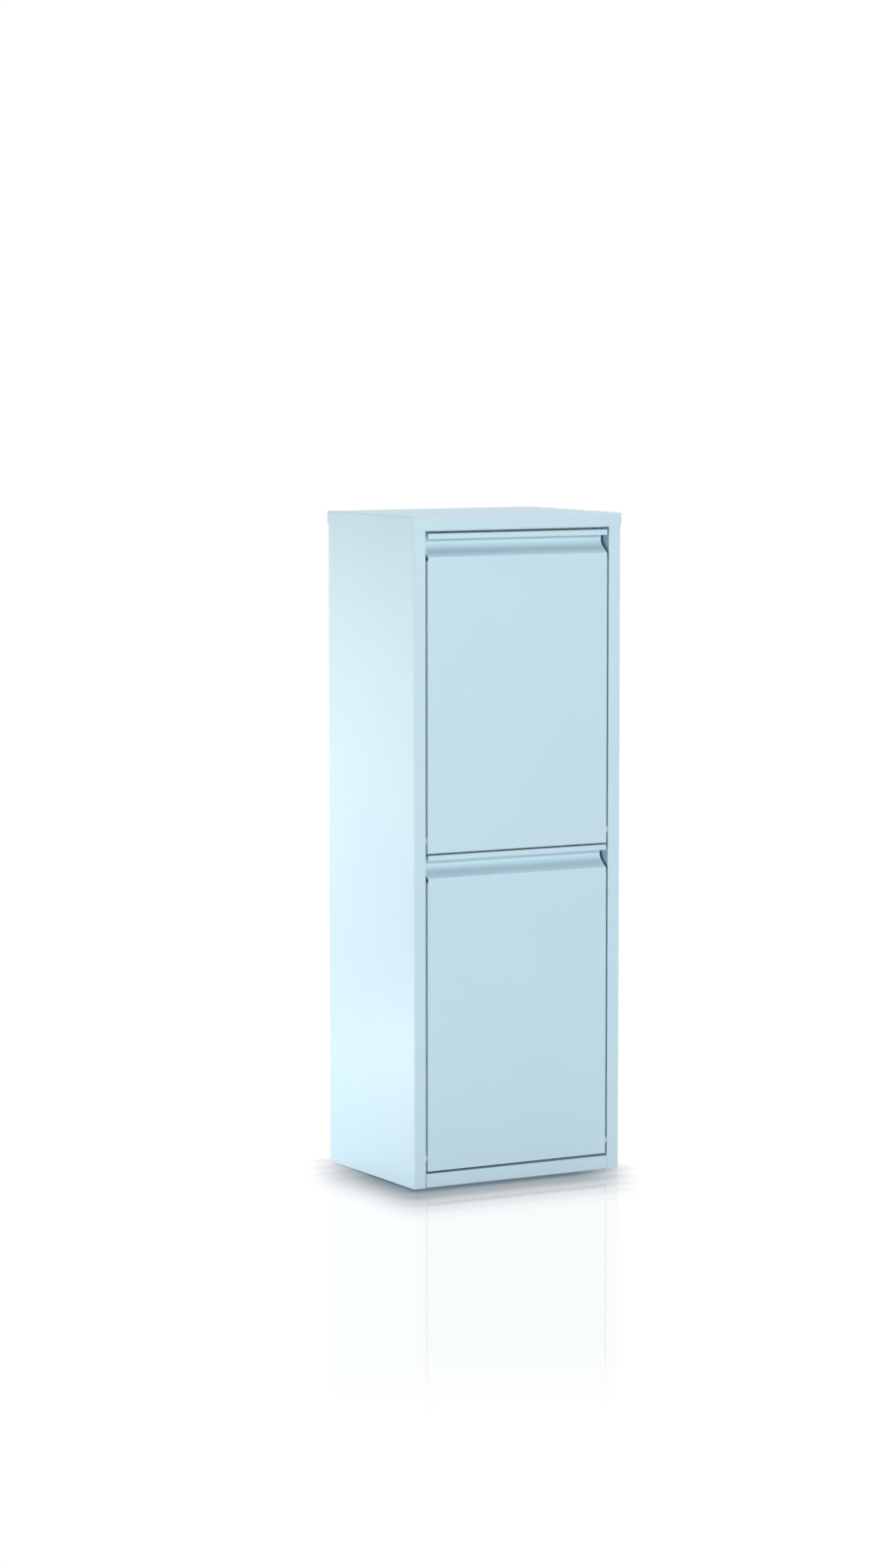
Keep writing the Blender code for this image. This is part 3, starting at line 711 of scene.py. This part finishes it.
def back_panel():
    """Flat sheet with stamped ribs and two keyholes."""
    outer_y = back_high.y
    path = [(back_low.z, outer_y)]
    for share in RIB_SHARES:
        z = back_low.z + (back_high.z - back_low.z) * share
        path.extend([
            (z - RIB_HALF_WIDTH, outer_y),
            (z - RIB_HALF_WIDTH + RIB_SLOPE, outer_y - RIB_DEPTH),
            (z + RIB_HALF_WIDTH - RIB_SLOPE, outer_y - RIB_DEPTH),
            (z + RIB_HALF_WIDTH, outer_y),
        ])
    path.append((back_high.z, outer_y))
    radii = [RIB_BEND] * (len(path) - 2)
    section = [(y, z) for z, y in sheet_section(path, -1, radii, outer_y - back_low.y)]
    panel = prism("back", section, "YZ", back_low.x, back_high.x)
    keyholes = [(sign * KEYHOLE_X, outer_y, KEYHOLE_Z) for sign in SIDES.values()]
    drill(panel, keyholes, "Y", KEYHOLE_RADIUS, DEEP_HOLE_REACH)
    for x, _, _ in keyholes:
        neck_box = box_outline((x - KEYHOLE_NECK_HALF_WIDTH, KEYHOLE_NECK_LOW),
                               (x + KEYHOLE_NECK_HALF_WIDTH, KEYHOLE_NECK_TOP))
        neck = rounded_outline(neck_box, KEYHOLE_NECK_ROUND)
        cutter = prism("neck", neck, "XZ", back_low.y - DEEP_HOLE_REACH, outer_y + HOLE_REACH)
        combine(panel, cutter, "DIFFERENCE")
    rivets = [centre_of(node) for side in SIDES for node in rivet_nodes(side)]
    drill(panel, [(p.x, outer_y, p.z) for p in rivets], "Y", BACK_RIVET_HOLE, HOLE_REACH)
    painted(panel, "cabinet", "back_panel")


def rear_rivets():
    """Blind rivets: a dome with the hollow left by the mandrel."""
    for side in SIDES:
        for node in rivet_nodes(side):
            low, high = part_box(node)
            top = high.y
            head = low.y + BACK_RIVET_SHANK_DEPTH
            profile = [
                (low.y, BACK_RIVET_SHANK), (head, BACK_RIVET_SHANK),
                (head, 0.0032), (head + 0.00025, 0.0032), (top - 0.0003, 0.0026),
                (top, 0.0016), (top, 0.0010), (top - 0.0004, 0.0008), (top - 0.0005, 0.0002),
            ]
            centre = ((low.x + high.x) / 2, 0.0, (low.z + high.z) / 2)
            plated(turned(node + "_head", profile, centre, "Y"), "cabinet", node)


def feet():
    """Moulded glides: a disc with a chamfered sole, and a stem pressed into the base."""
    for end in ("front", "rear"):
        for side in SIDES:
            node = "foot_" + end + "_" + side
            low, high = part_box(node)
            middle = (low + high) / 2
            top = BASE_Z - GAP
            profile = [
                (low.z, 0.0040), (low.z, 0.0076), (low.z + 0.0002, 0.0083), (low.z + 0.0007, 0.0085),
                (top, 0.0085), (top, 0.0030), (high.z - 0.0012, 0.0030), (high.z - 0.0008, 0.0030),
                (high.z, 0.0018),
            ]
            glide = turned("glide_" + end + "_" + side, profile, (middle.x, middle.y, 0.0), "Z")
            dress(glide, "cabinet", MOULDED, [node], 0.0)


def bush(node, sign):
    """Flanged ring in the jamb, round the pivot pin."""
    low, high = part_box(node)
    inner, outer = inner_and_outer(low, high, sign)
    flange_radius = (high.z - low.z) / 2
    shoulder = sign * (OPENING_X - GAP)
    step = sign * BUSH_CHAMFER
    ring = [
        (inner, BUSH_BORE + BUSH_CHAMFER), (inner, flange_radius - 0.0004),
        (inner + step, flange_radius), (shoulder, flange_radius),
        (shoulder, BUSH_RADIUS), (outer - step, BUSH_RADIUS),
        (outer, BUSH_RADIUS - BUSH_CHAMFER), (outer, BUSH_BORE), (inner + step, BUSH_BORE),
        (inner, BUSH_BORE + BUSH_CHAMFER),
    ]
    middle = (low + high) / 2
    piece = turned(node + "_ring", ring, (0.0, middle.y, middle.z), "X")
    dress(piece, "cabinet", MOULDED, [node], 0.0)


def stop_pin(node, sign):
    """Headed stud that runs in the rack plate's arc slot."""
    low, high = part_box(node)
    inner, outer = inner_and_outer(low, high, sign)
    head = inner + sign * STOP_HEAD
    stud = [
        (outer, STOP_PIN_RADIUS - PIN_CHAMFER), (outer - sign * PIN_CHAMFER, STOP_PIN_RADIUS),
        (head, STOP_PIN_RADIUS), (head, STOP_HEAD_RADIUS), (head - sign * 0.0006, STOP_HEAD_RADIUS),
        (inner + sign * 0.0001, 0.0034), (inner, 0.0024), (inner, 0.0012),
    ]
    middle = (low + high) / 2
    plated(turned(node + "_stud", stud, (0.0, middle.y, middle.z), "X"), "cabinet", node)


def bushes_and_stops():
    for door in DOORS:
        for side, sign in SIDES.items():
            bush(door + "_" + side + "_bush", sign)
            stop_pin(door + "_" + side + "_stop_pin", sign)


def buffers():
    """Rubber buttons with a stem groove and a domed face."""
    for door in DOORS:
        for side in SIDES:
            node = door + "_" + side + "_buffer"
            low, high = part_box(node)
            middle = (low + high) / 2
            radius = (high.z - low.z) / 2
            depth = high.y - low.y
            profile = [(low.y, 0.0010), (low.y + 0.0001, 0.0020)]
            for i in range(1, 9):
                t = math.radians(10 * i)
                along = low.y + depth * (0.05 + 0.45 * (1 - math.cos(t)))
                profile.append((along, radius * (0.55 + 0.40 * math.sin(t))))
            profile.extend([(high.y - 0.0006, radius), (high.y, radius)])
            button = turned(node + "_button", profile, (middle.x, 0.0, middle.z), "Y")
            dress(button, "cabinet", RUBBERY, [node], 0.0)


# Flaps


def pivot_of(door):
    return Vector(JOINTS[door + "_door"]["pos_m"])


def door_panel(door):
    """Flap skin: face, side flanges, turned-in bottom, and the finger pull folded along its top."""
    low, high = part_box(door + "_door_panel")
    half = high.x
    face_top = high.z - STRIP_HEIGHT - WALL_BELOW_STRIP - RAMP_HEIGHT
    path = [(-half, low.y + DOOR_FLANGE), (-half, low.y), (half, low.y), (half, low.y + DOOR_FLANGE)]
    relief = face_top - RELIEF_HEIGHT
    panel = prism(door + "_door_skin", sheet_section(path, 1), "XY", low.z, relief)
    wall_y = low.y + GROOVE_DEPTH
    hem_low = high.z - STRIP_HEIGHT + SHEET + HEM_RADIUS
    hem_y = low.y + SHEET + 2 * HEM_RADIUS
    path = [
        (low.y, relief),
        (low.y, face_top),
        (wall_y, face_top + RAMP_HEIGHT),
        (wall_y, high.z - SHEET),
        (low.y + SHEET, high.z - SHEET),
        (low.y + SHEET, hem_low - HEM_RADIUS),
        (hem_y, hem_low - HEM_RADIUS),
        (hem_y, hem_low + HEM_HEIGHT),
    ]
    radii = [RAMP_FACE_RADIUS, RAMP_WALL_RADIUS, BEND_RADIUS, BEND_RADIUS, HEM_RADIUS, HEM_RADIUS]
    pull_x = half - PULL_INSET
    combine(panel, prism("pull", sheet_section(path, -1, radii), "YZ", -pull_x, pull_x), "UNION")
    path = [
        (low.y, low.z + 0.020),
        (low.y, low.z),
        (low.y + DOOR_FLANGE, low.z),
        (low.y + DOOR_FLANGE, low.z + 0.007),
    ]
    foot_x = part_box(door + "_door_lower_tray")[1].x
    combine(panel, prism("hem", sheet_section(path, 1), "YZ", -foot_x, foot_x), "UNION")
    pivot = pivot_of(door)
    pivot_holes = [(sign * half, pivot.y, pivot.z) for sign in SIDES.values()]
    drill(panel, pivot_holes, "X", PIVOT_PIN_RADIUS + GAP, DEEP_HOLE_REACH)
    painted(panel, door + "_door", door + "_door_panel")


def stiffener(door):
    """Hat section behind the face."""
    low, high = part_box(door + "_door_stiffener")
    base = low.y
    crown = high.y - SHEET
    path = [
        (low.x, base), (-0.016, base), (-0.012, crown), (0.012, crown), (0.016, base), (high.x, base),
    ]
    piece = prism(door + "_face_stiffener", sheet_section(path, 1), "XY", low.z, high.z)
    painted(piece, door + "_door", door + "_door_stiffener")


def rack_plate(door, side):
    """Side of the shoe rack, with its arc slot."""
    node = door + "_" + side + "_rack_plate"
    low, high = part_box(node)
    pivot = pivot_of(door)
    front = low.y - pivot.y
    bottom = low.z - pivot.z
    back = high.y - pivot.y
    top = high.z - pivot.z
    corners = [
        (front, bottom),
        (0.120, bottom),
        (0.206, 0.020),
        (back, 0.110),
        (back, 0.290),
        (0.180, 0.330),
        (0.040, top),
        (front, top),
    ]
    outline = rounded_outline(corners, PLATE_CORNER)
    plate = prism(node + "_sheet", outline, "YZ", low.x, high.x, Vector((0.0, pivot.y, pivot.z)))
    stop = centre_of(door + "_" + side + "_stop_pin") - pivot
    start = math.atan2(stop.y, stop.z)
    half_width = STOP_PIN_RADIUS + SLOT_CLEARANCE
    slot = arc_slot_outline(math.hypot(stop.y, stop.z), half_width, start, start + TILT_LIMIT)
    cutter = prism("slot", slot, "YZ", low.x - 0.002, high.x + 0.002, Vector((0.0, pivot.y, pivot.z)))
    combine(plate, cutter, "DIFFERENCE")
    pivot_hole = ((low.x + high.x) / 2, pivot.y, pivot.z)
    drill(plate, [pivot_hole], "X", PIVOT_PIN_RADIUS + GAP, DEEP_HOLE_REACH)
    painted(plate, door + "_door", node)


def tray(door, level):
    """Shoe tray with folded sides and a row of drain slots."""
    node = door + "_door_" + level + "_tray"
    low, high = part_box(node)
    floor_z = low.z + SHEET
    front = low.y + SHEET
    back = high.y - TRAY_BACK_LEAN - SHEET * 0.98
    path = [
        (front, floor_z + TRAY_LIP_HEIGHT),
        (front, floor_z),
        (back, floor_z + TRAY_RISE),
        (back + TRAY_BACK_LEAN, high.z),
    ]
    section = sheet_section(path, -1, [TRAY_FRONT_RADIUS, TRAY_BACK_RADIUS])
    piece = prism(node + "_sheet", section, "YZ", low.x, high.x)
    slope = TRAY_RISE / (back - front)
    for sign in SIDES.values():
        ends = sorted((sign * high.x, sign * (high.x - SHEET)))
        near = front + TRAY_SIDE_FRONT_INSET
        far = back - TRAY_SIDE_BACK_INSET
        flange = [
            (near, floor_z + slope * (near - front) - SHEET * 0.6),
            (far, floor_z + slope * (far - front) - SHEET * 0.6),
            (far - TRAY_SIDE_TAPER, floor_z + slope * (far - front) + TRAY_SIDE_HEIGHT),
            (near + TRAY_SIDE_TAPER, floor_z + slope * (near - front) + TRAY_SIDE_HEIGHT),
        ]
        combine(piece, prism("flange", flange, "YZ", ends[0], ends[1]), "UNION")
    bm = bmesh.new()
    for row in TRAY_SLOT_ROWS:
        y = front + (back - front) * row
        for column in range(TRAY_SLOT_COLUMNS):
            x = (column - (TRAY_SLOT_COLUMNS - 1) / 2) * TRAY_SLOT_PITCH
            slot_box = box_outline((x - TRAY_SLOT_LENGTH / 2, y - TRAY_SLOT_WIDTH / 2),
                                   (x + TRAY_SLOT_LENGTH / 2, y + TRAY_SLOT_WIDTH / 2))
            slot = rounded_outline(slot_box, TRAY_SLOT_WIDTH * 0.49)
            add_prism(bm, slot, "XY", low.z - DEEP_HOLE_REACH, floor_z + TRAY_RISE + DEEP_HOLE_REACH)
    combine(piece, mesh_object("slots", bm), "DIFFERENCE")
    painted(piece, door + "_door", node)


def guard_bar(door, level):
    node = door + "_door_" + level + "_bar"
    low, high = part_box(node)
    middle = (low + high) / 2
    radius = (high.z - low.z) / 2
    profile = [
        (low.x, radius - PIN_CHAMFER), (low.x + PIN_CHAMFER, radius),
        (high.x - PIN_CHAMFER, radius), (high.x, radius - PIN_CHAMFER),
    ]
    plated(turned(node + "_rod", profile, (0.0, middle.y, middle.z), "X"), door + "_door", node)


def pivot_pins(door):
    for side, sign in SIDES.items():
        node = door + "_" + side + "_pivot_pin"
        low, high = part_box(node)
        pivot = pivot_of(door)
        inner, outer = inner_and_outer(low, high, sign)
        head = inner + sign * PIVOT_HEAD
        profile = [
            (inner, 0.0012), (inner, 0.0028), (inner + sign * PIN_CHAMFER, 0.0036),
            (head - sign * 0.0002, PIVOT_HEAD_RADIUS), (head, PIVOT_HEAD_RADIUS),
            (head, PIVOT_PIN_RADIUS), (outer - sign * 0.0006, PIVOT_PIN_RADIUS),
            (outer, PIVOT_PIN_RADIUS - 0.0006),
        ]
        plated(turned(node + "_shank", profile, (0.0, pivot.y, pivot.z), "X"), door + "_door", node)


def rack_rivets(door):
    """Low rivet heads that hold the trays to the rack plates, on the plates' outer faces."""
    bm = bmesh.new()
    pivot = pivot_of(door)
    for side, sign in SIDES.items():
        low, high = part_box(door + "_" + side + "_rack_plate")
        face = high.x if sign > 0 else low.x
        for level in LEVELS:
            tray_low, tray_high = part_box(door + "_door_" + level + "_tray")
            span = tray_high.y - tray_low.y
            for share in RACK_RIVET_SHARES:
                y = tray_low.y + span * share
                z = tray_low.z + SHEET + TRAY_RISE * share + TRAY_SIDE_HEIGHT * 0.55
                profile = [
                    (face + sign * RACK_RIVET_LIFT, RACK_RIVET_RADIUS),
                    (face + sign * 0.0002, RACK_RIVET_RADIUS),
                    (face + sign * RACK_RIVET_DOME * 0.7, RACK_RIVET_RADIUS * 0.72),
                    (face + sign * RACK_RIVET_DOME, RACK_RIVET_RADIUS * 0.30),
                ]
                add_turned(bm, profile, (0.0, y, z), "X", RACK_RIVET_STEPS)
    painted(mesh_object(door + "_rack_rivets", bm), door + "_door", edge=0.0)


def flap(door):
    door_panel(door)
    stiffener(door)
    for side in SIDES:
        rack_plate(door, side)
    for level in LEVELS:
        tray(door, level)
        guard_bar(door, level)
    pivot_pins(door)
    rack_rivets(door)


# Stage


def stage():
    bm = bmesh.new()
    for x, y in box_outline((-FLOOR_REACH, -FLOOR_REACH), (FLOOR_REACH, FLOOR_REACH)):
        bm.verts.new((x, y, 0.0))
    bm.faces.new(bm.verts)
    floor = mesh_object("floor", bm)
    floor.data.materials.append(light_table())


def area_light(name, position, target, size, power):
    data = bpy.data.lights.new(name, "AREA")
    data.shape = "RECTANGLE"
    data.size, data.size_y = size
    data.energy = power
    light = bpy.data.objects.new(name, data)
    light.location = position
    light.rotation_euler = (Vector(target) - Vector(position)).to_track_quat("-Z", "Y").to_euler()
    bpy.context.scene.collection.objects.link(light)


def lighting():
    """White backdrop, two soft keys in front, panels and low strips on the left, one light overhead."""
    world = bpy.data.worlds.new("studio")
    world.use_nodes = True
    tree = world.node_tree
    tree.nodes["Background"].inputs["Strength"].default_value = SURROUND
    seen = tree.nodes.new("ShaderNodeBackground")
    seen.inputs["Strength"].default_value = BACKDROP
    path = tree.nodes.new("ShaderNodeLightPath")
    direct = tree.nodes.new("ShaderNodeMath")
    direct.operation = "MAXIMUM"
    tree.links.new(path.outputs["Is Camera Ray"], direct.inputs[0])
    tree.links.new(path.outputs["Is Glossy Ray"], direct.inputs[1])
    blend = tree.nodes.new("ShaderNodeMixShader")
    tree.links.new(direct.outputs[0], blend.inputs[0])
    tree.links.new(tree.nodes["Background"].outputs[0], blend.inputs[1])
    tree.links.new(seen.outputs[0], blend.inputs[2])
    tree.links.new(blend.outputs[0], tree.nodes["World Output"].inputs["Surface"])
    for node in (tree.nodes["Background"], seen):
        node.inputs["Color"].default_value = (1.0, 1.0, 1.0, 1.0)
    bpy.context.scene.world = world
    for light in LIGHTS:
        area_light(*light)
    bpy.context.scene.view_settings.view_transform = "Standard"


def camera():
    """A long lens a little above the lid, to the left of the front."""
    data = bpy.data.cameras.new("camera")
    data.lens = CAMERA_LENS
    data.sensor_width = 36.0
    data.clip_start = 0.1
    data.clip_end = 200.0
    view = bpy.data.objects.new("camera", data)
    view.location = CAMERA_PLACE
    view.rotation_euler = (math.radians(CAMERA_TILT), 0.0, math.radians(CAMERA_TURN))
    bpy.context.scene.collection.objects.link(view)
    bpy.context.scene.camera = view


for side_name in SIDES:
    side_panel(side_name)
bottom_panel()
divider_shelf()
top_rails()
lid()
back_panel()
rear_rivets()
feet()
bushes_and_stops()
buffers()
for door_name in DOORS:
    flap(door_name)
stage()
lighting()
camera()
